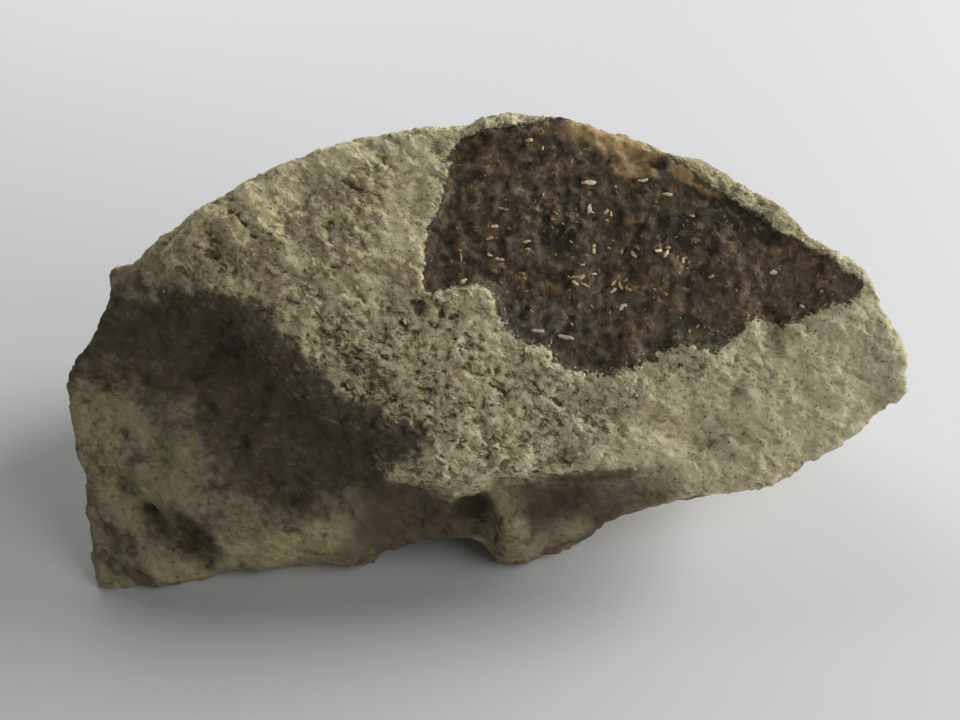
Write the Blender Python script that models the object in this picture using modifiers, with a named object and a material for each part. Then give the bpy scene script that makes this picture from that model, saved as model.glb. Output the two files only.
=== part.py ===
"""A stromatolite hand specimen: one rough lump of grey-green stone that lies on flat spots of its foot.

Its broad broken face leans back from the front and carries a dark, slightly sunken film. The left face
falls away under a ridge, and the front is undercut. Lengths are in millimetres until the mesh is placed.
X runs along the stone, Y to its back and Z up.
"""

import math

import bmesh
import bpy
import numpy as np
from mathutils import Vector, noise

MM = 0.001
NAME = "stromatolite"

GRID_STEP = 1.0  # of the working mesh
TRIANGLES = 9600  # in the stone before its foot is cut flat
CUTTER_SIZE = 300.0


class Face:
    """A side of the stone as a flat frame of its own: u runs along it, v up it and lift out of it."""

    def __init__(self, origin, turn, tilt):
        turn, tilt = math.radians(turn), math.radians(tilt)
        out = (math.sin(turn) * math.sin(tilt), -math.cos(turn) * math.sin(tilt), math.cos(tilt))
        along = (math.cos(turn), math.sin(turn), 0.0)
        self.origin = np.array(origin)
        self.axes = np.array((along, np.cross(out, along), out))
        self.out = self.axes[2]

    def place(self, u, v, lift=0.0):
        return self.origin + np.array((u, v, lift)) @ self.axes

    def measure(self, points):
        return (points - self.origin) @ self.axes.T


# Each side's middle, its turn from facing the front, and its tilt from facing up.
BROAD = Face((5.0, -21.4, 19.5), 7.0, 42.0)
LEFT = Face((-41.0, -13.0, 20.0), -8.0, 60.0)
FRONT = Face((0.0, -21.0, 0.0), 0.0, 90.0)
END = Face((-60.0, -10.0, 18.0), -90.0, 90.0)
BACK = Face((0.0, 32.0, 22.0), 180.0, 75.0)
RIGHT = Face((52.0, 4.0, 22.0), 75.0, 110.0)
UNDER = Face((0.0, 5.0, 0.0), 0.0, 180.0)
TOP = Face((0.0, 0.0, 45.0), 0.0, 0.0)

# Rim of the broad face as (u, v): up its left, over the crest, round the right end, back along the lip.
BROAD_RIM = (
    (-12.2, 0.4), (-18.7, 7.6), (-25.3, 14.0), (-30.6, 18.8), (-35.7, 26.5), (-40.0, 35.5),
    (-42.9, 40.9), (-36.8, 44.6), (-28.6, 48.0), (-15.3, 51.5), (5.7, 52.7), (17.6, 50.0),
    (32.2, 43.4), (41.5, 34.6), (55.6, 25.3), (60.8, 11.6), (59.8, 6.4), (51.6, 0.6),
    (35.4, -5.8), (25.0, -4.8), (18.1, -0.9), (6.5, -0.1),
)
# Swell of the broad face inside its rim as (u, v, lift).
BROAD_SWELL = ((-24.0, 34.0, 1.2), (0.0, 22.0, 1.6), (22.0, 24.0, 1.6), (40.0, 14.0, 1.2))

# Corners of the rest of the rough lump, before it is hollowed out. Those below 0 make the flat spots.
CORNERS = {
    "left end": (
        (-55.9, 3.4, 37.6), (-61.5, -5.8, 26.8), (-61.0, -11.1, 20.0), (-58.2, -20.2, 8.0),
        (-58.0, -27.6, -0.7),
    ),
    "back of the left end": ((-58.0, 4.0, 20.0), (-52.0, 12.0, -0.7), (-46.0, 18.0, 26.0)),
    "front edge": ((-42.0, -25.8, -0.7), (5.4, -21.2, -0.7)),
    "shoulder of the back": (
        (-34.0, 19.0, 40.0), (-12.0, 27.0, 43.0), (12.0, 30.0, 41.0), (34.0, 25.0, 36.0), (52.0, 13.0, 28.0),
    ),
    "foot of the back": ((-36.0, 30.0, 8.0), (-8.0, 37.0, 4.0), (20.0, 36.0, 5.0), (42.0, 24.0, 12.0)),
    "underside": (
        (26.0, 3.0, -0.7), (32.0, 18.0, -0.7), (12.0, 30.0, -0.7), (-28.0, 25.0, -0.7), (54.0, 2.0, 15.0),
    ),
}

# Hollows and lumps: the side that each is on, its path over that side, how far it reaches to either hand,
# how far it stands out (below 0 it sinks), and its core, the share of the reach that moves all the way.
STROKES = {
    "trough under the ridge": (
        LEFT, ((-8.0, 15.0), (2.0, 10.0), (11.0, 3.0), (21.0, -3.0), (29.0, -8.0)), 13.0, -3.2, 0.1,
    ),
    "hollow above the left corner": (END, ((-11.0, 16.0), (-8.5, 12.0)), 7.5, -1.3, 0.0),
    "drop before the notch": (TOP, ((-45.6, 5.5), (-50.5, 5.0)), 4.6, -2.4, 0.5),
    "crack from the notch": (BROAD, ((-41.5, 39.1), (-39.1, 34.7), (-36.8, 30.9)), 1.9, -1.9, 0.2),
    "ledge by the left corner": (LEFT, ((-17.5, 10.2), (-11.5, 10.0)), 2.4, 1.3, 0.4),
    "crease under that ledge": (
        LEFT, ((-17.5, 7.2), (-10.5, 5.0), (-8.0, 3.0), (-6.5, -1.2)), 2.2, -1.5, 0.2,
    ),
    "edge under the left film": (
        LEFT, ((-1.2, 3.8), (5.2, -1.8), (9.0, -7.0), (14.5, -8.5)), 2.4, -1.6, 0.2,
    ),
    "slot in the left face": (LEFT, ((-6.8, -13.2), (-2.5, -16.8), (0.8, -19.4)), 2.6, -3.4, 0.2),
    "start of the slot": (LEFT, ((-10.5, -9.8), (-5.5, -14.2)), 3.4, -1.3, 0.1),
    "bed above the slot": (LEFT, ((-13.0, -4.5), (-4.0, -11.0), (5.0, -17.0)), 2.6, 1.1, 0.3),
    "bed below the slot": (LEFT, ((-12.0, -14.0), (-6.0, -20.0), (-3.0, -25.0)), 2.6, 1.0, 0.3),
    "recess by the front foot": (FRONT, ((-14.0, -1.2), (-8.0, 1.2), (-3.8, 0.8)), 6.0, -9.0, 0.4),
    "foot's edge left of the recess": (FRONT, ((-25.0, -1.0),), 9.0, -2.2, 0.1),
    "pit beside the foot's lump": (FRONT, ((-1.8, 13.2), (0.4, 9.4)), 3.2, -4.0, 0.2),
    "lump over the foot": (FRONT, ((5.0, 9.5), (5.6, 3.0)), 4.6, 2.2, 0.3),
    "hollow under the lip": (FRONT, ((3.5, 15.8), (12.0, 14.8), (25.0, 15.6)), 4.6, -3.2, 0.2),
    "cut-back right of the foot": (FRONT, ((21.0, 5.5), (26.0, 7.5), (33.0, 10.0)), 5.0, -1.9, 0.3),
    "slot right of the foot": (FRONT, ((17.0, 10.6), (23.0, 11.6)), 2.2, -2.4, 0.2),
    "ledge right of the foot": (FRONT, ((12.5, 12.4), (18.5, 13.2)), 1.8, 1.2, 0.3),
    "first pit on the lip": (BROAD, ((3.8, 1.9),), 1.9, -1.9, 0.2),
    "second pit on the lip": (BROAD, ((6.0, 2.2), (7.6, 2.0)), 1.7, -1.7, 0.2),
    "dip in the crest": (BROAD, ((20.5, 49.5), (23.0, 48.5)), 5.0, -1.8, 0.1),
    "crack right of the film": (BROAD, ((40.0, 20.2), (39.2, 14.6)), 1.5, -1.3, 0.2),
    "bump in the film's corner": (BROAD, ((18.5, 16.0),), 2.4, 1.1, 0.3),
    "bump under the film": (BROAD, ((25.2, 16.0), (28.8, 15.4)), 2.2, 1.0, 0.3),
    "bump left of the film": (BROAD, ((3.1, 16.6), (7.9, 13.6)), 2.4, 1.0, 0.3),
    "low step in the broad face": (BROAD, ((7.5, 9.9), (18.9, 6.0), (27.4, 2.4)), 3.0, -0.9, 0.2),
    "scoop in the back": (BACK, ((-22.0, 6.0), (2.0, 3.0)), 15.0, -4.0, 0.1),
    "second scoop in the back": (BACK, ((34.0, 4.0),), 13.0, -3.0, 0.1),
    "ledge across the back": (BACK, ((-34.0, -8.0), (-8.0, -11.0), (20.0, -7.0)), 3.6, 1.8, 0.3),
    "scoop in the right end": (RIGHT, ((-6.0, 0.0), (6.0, 3.0)), 8.0, -1.8, 0.1),
    "hollow beneath": (UNDER, ((-26.0, 2.0), (-8.0, 3.0), (10.0, -5.0)), 15.0, -3.2, 0.2),
    "way in from the recess": (UNDER, ((-8.0, 21.0), (-8.0, 12.0)), 7.0, -2.2, 0.3),
    "gap under the left end": (UNDER, ((-62.0, 8.0), (-44.0, 9.0)), 6.0, -2.0, 0.3),
    "gap under the front": (UNDER, ((-34.0, 32.0),), 8.0, -1.4, 0.2),
    "gap under the back": (UNDER, ((-14.0, -19.0), (-4.0, -21.0)), 8.0, -2.2, 0.2),
    "gap under the right": (UNDER, ((26.0, 2.0), (32.0, -4.0)), 7.0, -1.8, 0.2),
}
STROKE_DEPTH = 18.0  # how deep under a side's frame its surface can be and still be moved
STROKE_FACING = (-0.3, 0.2)  # cosine off the side's own facing, at which a stroke starts and is whole
RIDGE_WALL = 3.0  # depth under the broad face at which the left side's strokes reach their full strength

# Outlines on a side that are raised or sunk (below 0) with a sharp edge: side, rise, edge width, outline.
LEVELS = {
    "dark film": (BROAD, -0.9, 0.8, (
        (-5.0, 47.6), (-2.9, 49.0), (4.9, 48.9), (10.3, 50.5), (15.0, 49.5), (22.0, 46.8), (27.2, 43.8),
        (37.6, 36.0), (41.4, 32.5), (45.3, 29.8), (49.9, 27.4), (54.3, 23.4), (53.8, 21.2), (48.0, 20.3),
        (41.9, 17.7), (38.1, 19.6), (33.3, 16.2), (30.8, 14.7), (26.4, 16.7), (21.5, 14.7), (12.9, 13.0),
        (7.1, 15.1), (6.2, 17.7), (2.0, 19.0), (-0.3, 23.1), (-0.9, 26.5), (-2.9, 27.5), (-9.0, 26.6),
        (-10.9, 27.3), (-9.8, 34.6), (-6.5, 40.9),
    )),
    "chip by the film": (BROAD, 1.3, 0.7, (
        (-11.4, 26.2), (-8.8, 27.1), (-4.3, 27.8), (-1.4, 27.4), (-0.3, 25.0), (-1.0, 23.4), (-4.3, 24.3),
        (-7.9, 24.0), (-10.3, 24.8),
    )),
}
LEVEL_DEPTH = 7.0  # how far off a side's frame its surface can be and still carry its outlines
LEVEL_FACING = (0.45, 0.65)  # the same cosines for an outline

# Roughness: long swells, small tilted breaks, and ledges where the stone is broken across its beds.
SWELL_LENGTH, SWELL_HEIGHT = 17.0, 0.85
BREAK_LENGTH, BREAK_HEIGHT = 8.0, 0.8
BREAK_SEED_SPREAD = 37.0  # so that each break's seed falls in a noise cell of its own
CHIP_LENGTH, CHIP_HEIGHT = 6.0, 0.3
BED_THICKNESS, BED_LEDGE = 5.8, 1.9
BED_BEND_LENGTH, BED_BEND = 26.0, 3.0
BED_SHOWN_LENGTH, BED_SHOWN, BED_SHOWN_RANGE = 15.0, 0.5, 1.3  # ledges come and go along the stone


def rough_lump():
    """The convex blank through all the corners, as a mesh."""
    corners = [BROAD.place(u, v) for u, v in BROAD_RIM] + [BROAD.place(*swell) for swell in BROAD_SWELL]
    for group in CORNERS.values():
        corners += group
    blank = bmesh.new()
    for corner in corners:
        blank.verts.new(corner)
    hull = bmesh.ops.convex_hull(blank, input=blank.verts)
    bmesh.ops.delete(blank, geom=hull["geom_interior"], context="VERTS")
    bmesh.ops.recalc_face_normals(blank, faces=blank.faces)
    mesh = bpy.data.meshes.new(NAME)
    blank.to_mesh(mesh)
    blank.free()
    return mesh


def with_modifier(obj, kind, **settings):
    """Applies one modifier to the object's own mesh."""
    modifier = obj.modifiers.new(kind.title(), kind)
    for name, value in settings.items():
        setattr(modifier, name, value)
    bpy.context.view_layer.update()
    evaluated = obj.evaluated_get(bpy.context.evaluated_depsgraph_get())
    mesh = bpy.data.meshes.new_from_object(evaluated)
    obj.modifiers.remove(modifier)
    old = obj.data
    obj.data = mesh
    bpy.data.meshes.remove(old)


def vertex_values(mesh, attribute):
    """The vertices' co or normal as an array."""
    values = np.empty(len(mesh.vertices) * 3)
    mesh.vertices.foreach_get(attribute, values)
    return values.reshape(-1, 3)


def put_vertices(mesh, points):
    mesh.vertices.foreach_set("co", points.ravel())
    mesh.update()


def smooth_step(low, high, values):
    t = np.clip((values - low) / (high - low), 0.0, 1.0)
    return t * t * (3.0 - 2.0 * t)


def distance_to_segment(points, start, end):
    start, end = np.array(start), np.array(end)
    span = end - start
    share = np.clip((points - start) @ span / max(span @ span, 1e-9), 0.0, 1.0)
    return np.linalg.norm(points - start - share[:, None] * span, axis=1)


def carve(mesh):
    """Moves the surface along every stroke, out of or into the side that the stroke is on."""
    points = vertex_values(mesh, "co")
    normals = vertex_values(mesh, "normal")
    off_ridge = smooth_step(0.0, RIDGE_WALL, -BROAD.measure(points)[:, 2])
    moved = points.copy()
    for side, path, reach, rise, core in STROKES.values():
        places = side.measure(points)
        distances = [distance_to_segment(places[:, :2], *ends) for ends in zip(path, path[1:] or path)]
        strength = 1.0 - smooth_step(core, 1.0, np.min(distances, axis=0) / reach)
        strength *= smooth_step(-STROKE_DEPTH, -0.5 * STROKE_DEPTH, places[:, 2])
        strength *= smooth_step(*STROKE_FACING, normals @ side.out)
        if side is LEFT:
            strength *= off_ridge
        moved += rise * strength[:, None] * side.out
    put_vertices(mesh, moved)


def inside_outline(outline, u, v):
    """Distance from an outline, positive inside it."""
    points = np.stack((u, v), axis=1)
    nearest = np.full(len(u), np.inf)
    inside = np.zeros(len(u), dtype=bool)
    for start, end in zip(outline, outline[1:] + outline[:1]):
        nearest = np.minimum(nearest, distance_to_segment(points, start, end))
        if start[1] != end[1]:
            crossing = start[0] + (v - start[1]) * (end[0] - start[0]) / (end[1] - start[1])
            inside ^= ((start[1] > v) != (end[1] > v)) & (u < crossing)
    return np.where(inside, nearest, -nearest)


def tilted_breaks(point, length):
    """Height of the small planes, each tilted its own way, that rough stone breaks into."""
    cell = point / length
    seed = noise.voronoi(cell)[1][0]
    tilt = noise.cell_vector(seed * BREAK_SEED_SPREAD) - Vector((0.5, 0.5, 0.5))
    return tilt.dot(cell - seed)


def bed_ledge(point, normal):
    """Beds lie level with the broad face, and each stands out a little at its upper edge."""
    depth = (point - Vector(BROAD.origin)).dot(Vector(BROAD.out))
    depth += BED_BEND * noise.fractal(point / BED_BEND_LENGTH, 1.0, 2.0, 3)
    across = 1.0 - abs(normal.dot(Vector(BROAD.out)))
    shown = max(0.0, BED_SHOWN + BED_SHOWN_RANGE * noise.noise(point / BED_SHOWN_LENGTH))
    return BED_LEDGE * across * shown * (depth / BED_THICKNESS % 1.0 - 0.5)


def roughness(point, normal):
    """Height of the broken stone's own bumps over its smooth form."""
    return (
        SWELL_HEIGHT * noise.fractal(point / SWELL_LENGTH, 0.9, 2.1, 2)
        + BREAK_HEIGHT * tilted_breaks(point, BREAK_LENGTH)
        + CHIP_HEIGHT * noise.fractal(point / CHIP_LENGTH, 0.8, 2.2, 2)
        + bed_ledge(point, normal)
    )


def roughen(mesh):
    """Adds the roughness, and the outlines that are raised or sunk, along each vertex's normal."""
    points = vertex_values(mesh, "co")
    normals = vertex_values(mesh, "normal")
    heights = np.array([roughness(Vector(p), Vector(n)) for p, n in zip(points, normals)])
    for side, rise, edge, outline in LEVELS.values():
        u, v, lift = side.measure(points).T
        on_side = smooth_step(*LEVEL_FACING, normals @ side.out) * (abs(lift) < LEVEL_DEPTH)
        heights += rise * on_side * smooth_step(0.0, edge, inside_outline(outline, u, v))
    put_vertices(mesh, points + normals * heights[:, None])


def cut_flat_below(stone, height):
    """Cuts the stone off flat at a height, which leaves its flat spots."""
    bpy.ops.mesh.primitive_cube_add(size=CUTTER_SIZE, location=(0.0, 0.0, height - CUTTER_SIZE / 2))
    cutter = bpy.context.object
    with_modifier(stone, "BOOLEAN", operation="DIFFERENCE", solver="EXACT", object=cutter)
    bpy.data.objects.remove(cutter)


def centre_on_origin(mesh):
    """Puts the origin at the middle of the box's floor, and turns millimetres into metres."""
    points = vertex_values(mesh, "co")
    low, high = points.min(axis=0), points.max(axis=0)
    middle = np.array(((low[0] + high[0]) / 2, (low[1] + high[1]) / 2, low[2]))
    put_vertices(mesh, (points - middle) * MM)
    print("box", (high - low).round(2).tolist(), "middle", middle.round(2).tolist())


def stone_material():
    material = bpy.data.materials.new("stone")
    material.use_nodes = True
    shader = material.node_tree.nodes["Principled BSDF"]
    shader.inputs["Base Color"].default_value = (0.36, 0.35, 0.26, 1.0)
    shader.inputs["Roughness"].default_value = 0.9
    shader.inputs["Metallic"].default_value = 0.0
    return material


def main():
    for obj in list(bpy.data.objects):
        bpy.data.objects.remove(obj)
    collection = bpy.data.collections.new(NAME)
    bpy.context.scene.collection.children.link(collection)
    stone = bpy.data.objects.new(NAME, rough_lump())
    collection.objects.link(stone)
    with_modifier(stone, "REMESH", mode="VOXEL", voxel_size=GRID_STEP)
    carve(stone.data)
    with_modifier(stone, "REMESH", mode="VOXEL", voxel_size=GRID_STEP)
    roughen(stone.data)
    stone.data.calc_loop_triangles()
    with_modifier(stone, "DECIMATE", ratio=TRIANGLES / len(stone.data.loop_triangles))
    cut_flat_below(stone, 0.0)
    centre_on_origin(stone.data)
    stone.data.materials.append(stone_material())


main()
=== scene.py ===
import math

import bmesh
import bpy
import numpy as np
from mathutils import Matrix, Vector, noise
from mathutils.bvhtree import BVHTree


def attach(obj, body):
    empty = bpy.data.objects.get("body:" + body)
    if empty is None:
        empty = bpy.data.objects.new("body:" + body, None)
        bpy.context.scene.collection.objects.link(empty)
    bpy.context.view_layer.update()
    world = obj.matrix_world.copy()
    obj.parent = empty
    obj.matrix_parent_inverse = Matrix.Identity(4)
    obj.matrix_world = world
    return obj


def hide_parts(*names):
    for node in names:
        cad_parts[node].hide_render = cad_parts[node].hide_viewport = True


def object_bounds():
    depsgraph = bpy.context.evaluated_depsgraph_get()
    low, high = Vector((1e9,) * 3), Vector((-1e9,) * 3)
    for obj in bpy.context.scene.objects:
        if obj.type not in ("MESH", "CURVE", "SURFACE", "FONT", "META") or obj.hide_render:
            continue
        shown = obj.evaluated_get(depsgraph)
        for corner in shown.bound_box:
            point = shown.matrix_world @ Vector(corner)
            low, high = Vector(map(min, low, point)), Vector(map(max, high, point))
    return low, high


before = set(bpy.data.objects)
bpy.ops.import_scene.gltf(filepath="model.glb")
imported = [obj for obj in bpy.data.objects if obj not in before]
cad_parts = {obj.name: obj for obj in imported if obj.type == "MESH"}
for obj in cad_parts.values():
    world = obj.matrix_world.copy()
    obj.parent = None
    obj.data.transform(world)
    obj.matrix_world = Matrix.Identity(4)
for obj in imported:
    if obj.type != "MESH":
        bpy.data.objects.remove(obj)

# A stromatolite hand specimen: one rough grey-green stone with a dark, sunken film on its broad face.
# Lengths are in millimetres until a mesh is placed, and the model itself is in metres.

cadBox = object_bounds()
mm = 0.001
middle = (1.0, 4.89, 0.0)  # of the box's floor, in the millimetres that the outlines below were drawn in


class Link:
    # a node's socket, on which sums and comparisons add Math nodes to its tree
    def __init__(self, tree, node=None, out=0):
        self.tree = tree
        self.node = node
        self.socket = node.outputs[out] if node and len(node.outputs) else None

    def make(self, kind, settings=None, sockets=None, out=0):
        # any other node: its type, its settings, then its sockets' values or links
        node = self.tree.nodes.new(kind)
        for name, value in (settings or {}).items():
            setattr(node, name, value)
        made = Link(self.tree, node, out)
        for name, value in (sockets or {}).items():
            if isinstance(value, Link):
                value.feeds(made, name)
            else:
                node.inputs[name].default_value = value
        return made

    def feeds(self, other, name):
        self.tree.links.new(self.socket, other.node.inputs[name])

    def __getitem__(self, name):
        return Link(self.tree, self.node, name)

    def math(self, operation, *values):
        return self.make("ShaderNodeMath", {"operation": operation}, dict(enumerate(values)))

    def vector(self, operation, other, out=0):
        return self.make("ShaderNodeVectorMath", {"operation": operation}, {0: self, 1: other}, out)

    def __add__(self, other):
        return self.math("ADD", self, other)

    def __radd__(self, other):
        return self.math("ADD", other, self)

    def __sub__(self, other):
        return self.math("SUBTRACT", self, other)

    def __rsub__(self, other):
        return self.math("SUBTRACT", other, self)

    def __mul__(self, other):
        return self.math("MULTIPLY", self, other)

    def __rmul__(self, other):
        return self.math("MULTIPLY", other, self)

    def __truediv__(self, other):
        return self.math("DIVIDE", self, other)

    def __rtruediv__(self, other):
        return self.math("DIVIDE", other, self)

    def most(self, other):
        return self.math("MAXIMUM", self, other)

    def least(self, other):
        return self.math("MINIMUM", self, other)

    def step(self, low, high):
        # 0 below low, 1 above high, and smooth between; the other way round if low is the larger
        ends = {"Value": self, "From Min": min(low, high), "From Max": max(low, high)}
        if low > high:
            ends.update({"To Min": 1.0, "To Max": 0.0})
        return self.make("ShaderNodeMapRange", {"interpolation_type": "SMOOTHSTEP"}, ends)

    def noise(self, size, detail=2.0, rough=0.5):
        # cloudy noise about 0, mostly within -0.5 and 0.5, whose lumps are about size across
        sockets = {"Vector": self, "Scale": 1.0 / size, "Detail": detail, "Roughness": rough}
        return self.make("ShaderNodeTexNoise", None, sockets) - 0.5

    def warped(self, size, amount):
        # this place shaken about, so that straight edges read at it come out wandering
        sockets = {"Vector": self, "Scale": 1.0 / size, "Detail": 2.0}
        shake = self.make("ShaderNodeTexNoise", None, sockets, out="Color").shifted((-0.5, -0.5, -0.5))
        return shake.scaled(amount).vector("ADD", self)

    def lines(self, size, width):
        # thin wandering lines, 1 in their middle
        return self.math("ABSOLUTE", self.noise(size, 4.0, 0.66)).step(width, 0.0)

    def facets(self, size, level=0.35):
        # the small planes that rough stone breaks into, each at its own tilt and height
        cell = self.scaled(1.0 / size)
        broken = self.make("ShaderNodeTexVoronoi", None, {"Vector": cell, "Scale": 1.0})
        lean = broken["Color"].shifted((-0.5, -0.5, -0.5))
        tilted = lean.dot(cell.vector("SUBTRACT", broken["Position"]))
        return tilted + broken["Color"].dot((0.0, level, 0.0)) - 0.5 * level

    def dot(self, direction):
        return self.vector("DOT_PRODUCT", direction, out="Value")

    def scaled(self, factor):
        return self.make("ShaderNodeVectorMath", {"operation": "SCALE"}, {0: self, "Scale": factor})

    def shifted(self, offset):
        return self.vector("ADD", offset)

    def turnedInto(self, other, share):
        # this place moved towards the other by the share
        return other.vector("SUBTRACT", self).scaled(share).vector("ADD", self)

    def mixed(self, other, factor):
        # this colour turned into the other by the factor
        other = other if isinstance(other, Link) else (*other, 1.0)
        return self.make("ShaderNodeMix", {"data_type": "RGBA"}, {0: factor, 6: self, 7: other}, out=2)


def colourOf(links, rgb):
    # a colour that a Mix node can start from
    return links.make("ShaderNodeMix", {"data_type": "RGBA"}, {0: 0.0, 6: (*rgb, 1.0), 7: (*rgb, 1.0)}, out=2)


class Side:
    # a flat side of the stone: u runs along it, v up it and lift out of it
    def __init__(self, origin, turn, tilt):
        turn, tilt = math.radians(turn), math.radians(tilt)
        out = (math.sin(turn) * math.sin(tilt), -math.cos(turn) * math.sin(tilt), math.cos(tilt))
        along = (math.cos(turn), math.sin(turn), 0.0)
        self.origin = np.array(origin) - np.array(middle)
        self.axes = np.array((along, np.cross(out, along), out))

    def measure(self, points):
        return (points - self.origin) @ self.axes.T

    def place(self, u, v, lift=0.0):
        return tuple(self.origin + np.array((u, v, lift)) @ self.axes)


broadSide = Side((5.0, -21.4, 19.5), 7.0, 42.0)

# the films as (u, v) on the broad side, which the left one is seen along too
darkFilm = {
    "depth": (-6.0, 6.0),  # lowest and highest lift off the broad side that it still colours
    "facing": 0.15,  # how squarely the stone has to face out of the broad side there
    "outline": (
        (-5.0, 47.6), (-2.9, 49.2), (3.0, 50.4), (8.5, 51.2), (13.0, 52.8), (19.0, 52.0), (24.0, 48.0),
        (28.0, 44.2), (37.6, 36.0), (41.4, 32.5), (45.3, 29.8), (49.9, 27.4), (54.3, 23.4), (53.8, 21.2),
        (48.0, 20.3), (41.9, 17.7), (38.1, 19.6), (33.3, 16.2), (30.8, 14.7), (26.4, 16.7), (21.5, 14.7),
        (12.9, 13.0), (7.1, 15.1), (6.2, 17.7), (2.0, 19.0), (-0.3, 23.1), (-0.9, 26.5), (-2.9, 27.5),
        (-9.0, 26.6), (-10.9, 27.3), (-9.8, 34.6), (-6.5, 40.9),
    ),
}
leftStain = {
    "depth": (-16.0, 6.0),
    "facing": -0.1,
    "outline": (
        (-58.5, 34.0), (-42.1, 30.6), (-33.5, 26.2), (-28.4, 19.4), (-23.9, 14.0), (-16.8, 9.4), (-11.3, 7.3),
        (-12.8, 4.3), (-17.4, 2.2), (-25.2, -0.8), (-32.0, -2.2), (-38.5, 1.0), (-42.0, 4.8), (-46.0, 10.5),
        (-47.0, 15.0), (-53.4, 18.6), (-61.5, 22.5), (-63.0, 30.0),
    ),
}
# what is taken off the distance inside an outline, past its depth and where the stone turns away
fadeOut = {"perLift": 4.0, "mostLift": 4.0, "turnedAway": 14.0, "turning": 0.3}
farOutside = -9.0

# the cracks and pits that stand out, each as its half width and (u, v) along it; their dark colour is partly
# painted shade
cracks = (
    (0.34, ((-37.3, 41.2), (-36.0, 39.6), (-34.6, 37.0))),
    (0.38, ((-21.6, 44.6), (-20.2, 43.6), (-18.6, 42.5))),
    (0.70, ((-42.6, 36.4), (-40.4, 35.0))),
    (0.65, ((-12.2, 25.6), (-11.2, 25.2), (-11.8, 24.0))),
    (0.55, ((-8.4, 23.4), (-7.2, 23.0), (-6.2, 23.3))),
    (0.30, ((-16.2, 25.0), (-15.0, 23.8), (-13.8, 21.8))),
    (0.28, ((-27.0, 21.2), (-25.4, 20.4))),
    (0.30, ((-20.6, 23.2), (-19.4, 22.2))),
    (0.30, ((-23.6, 14.6), (-21.6, 12.8))),
    (0.30, ((-12.2, 14.4), (-11.0, 12.8))),
    (0.30, ((-2.6, 13.2), (-0.6, 11.6))),
    (0.30, ((6.2, 10.6), (7.4, 9.2))),
    (0.30, ((27.4, 14.0), (28.4, 12.8))),
)


def segmentDistance(start, end, points):
    first, span = np.array(start), np.array(end) - np.array(start)
    share = np.clip((points - first) @ span / (span @ span), 0.0, 1.0)
    return np.linalg.norm(points - first - share[:, None] * span, axis=1)


def distanceInside(outline, points):
    # distance from an outline, positive inside it
    nearest = np.full(len(points), np.inf)
    inside = np.zeros(len(points), dtype=bool)
    for start, end in zip(outline, outline[1:] + outline[:1]):
        nearest = np.minimum(nearest, segmentDistance(start, end, points))
        if end[1] != start[1]:
            crossing = start[0] + (points[:, 1] - start[1]) * (end[0] - start[0]) / (end[1] - start[1])
            inside ^= ((start[1] > points[:, 1]) != (end[1] > points[:, 1])) & (points[:, 0] < crossing)
    return np.where(inside, nearest, -nearest)


def seenFromBroad(mesh):
    # each vertex as (u, v, lift), and how squarely it faces out of the broad side
    points, normals = np.empty(len(mesh.vertices) * 3), np.empty(len(mesh.vertices) * 3)
    mesh.vertices.foreach_get("co", points)
    mesh.vertices.foreach_get("normal", normals)
    return broadSide.measure(points.reshape(-1, 3) / mm), normals.reshape(-1, 3) @ broadSide.axes[2]


def mark(mesh, name, values):
    # one number for each vertex
    mesh.attributes.new(name, "FLOAT", "POINT").data.foreach_set("value", values.astype(np.float32))


def markCracks(mesh, name):
    # each vertex keeps how far inside a crack it lies
    places, facing = seenFromBroad(mesh)
    inside = np.full(len(places), farOutside)
    for width, line in cracks:
        for start, end in zip(line, line[1:]):
            inside = np.maximum(inside, width - segmentDistance(start, end, places[:, :2]))
    mark(mesh, name, np.where(facing > 0.2, inside, farOutside))


def markOutline(mesh, name, film):
    # each vertex keeps how far inside the film's outline it lies
    places, facing = seenFromBroad(mesh)
    depth = distanceInside(film["outline"], places[:, :2])
    outside = np.maximum(film["depth"][0] - places[:, 2], places[:, 2] - film["depth"][1])
    depth -= fadeOut["perLift"] * np.clip(outside, 0.0, fadeOut["mostLift"])
    depth -= fadeOut["turnedAway"] * np.clip((film["facing"] - facing) / fadeOut["turning"], 0.0, 1.0)
    mark(mesh, name, depth)


def bakedMesh(obj):
    # the object's modifiers made part of its mesh
    graph = bpy.context.evaluated_depsgraph_get()
    graph.update()
    mesh = bpy.data.meshes.new_from_object(obj.evaluated_get(graph))
    obj.modifiers.clear()
    old = obj.data
    obj.data = mesh
    bpy.data.meshes.remove(old)


def newTree(name, numbers):
    # a tree with one named input for each number
    tree = bpy.data.node_groups.new(name, "GeometryNodeTree")
    tree.interface.new_socket("Geometry", in_out="INPUT", socket_type="NodeSocketGeometry")
    for label, value in numbers.items():
        kind = "NodeSocketInt" if isinstance(value, int) else "NodeSocketFloat"
        tree.interface.new_socket(label, in_out="INPUT", socket_type=kind).default_value = value
    tree.interface.new_socket("Geometry", in_out="OUTPUT", socket_type="NodeSocketGeometry")
    links = Link(tree)
    return links, links.make("NodeGroupInput")


def endTree(links, geometry, material):
    real = links.make("GeometryNodeRealizeInstances", None, {0: geometry})
    done = links.make("GeometryNodeSetMaterial", None, {0: real, "Material": material})
    out = links.tree.nodes.new("NodeGroupOutput")
    links.tree.links.new(done.socket, out.inputs[0])


def useTree(obj, tree, numbers):
    modifier = obj.modifiers.new(tree.name, "NODES")
    modifier.node_group = tree
    for item in tree.interface.items_tree:
        if item.in_out == "INPUT" and item.name in numbers:
            modifier[item.identifier] = numbers[item.name]


def linked(obj):
    # the object, put into the scene
    bpy.context.scene.collection.objects.link(obj)
    return obj


def stored(geometry, name, value, domain="POINT"):
    settings = {"data_type": "FLOAT", "domain": domain}
    sockets = {"Geometry": geometry, "Name": name, "Value": value}
    return geometry.make("GeometryNodeStoreNamedAttribute", settings, sockets)


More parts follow.
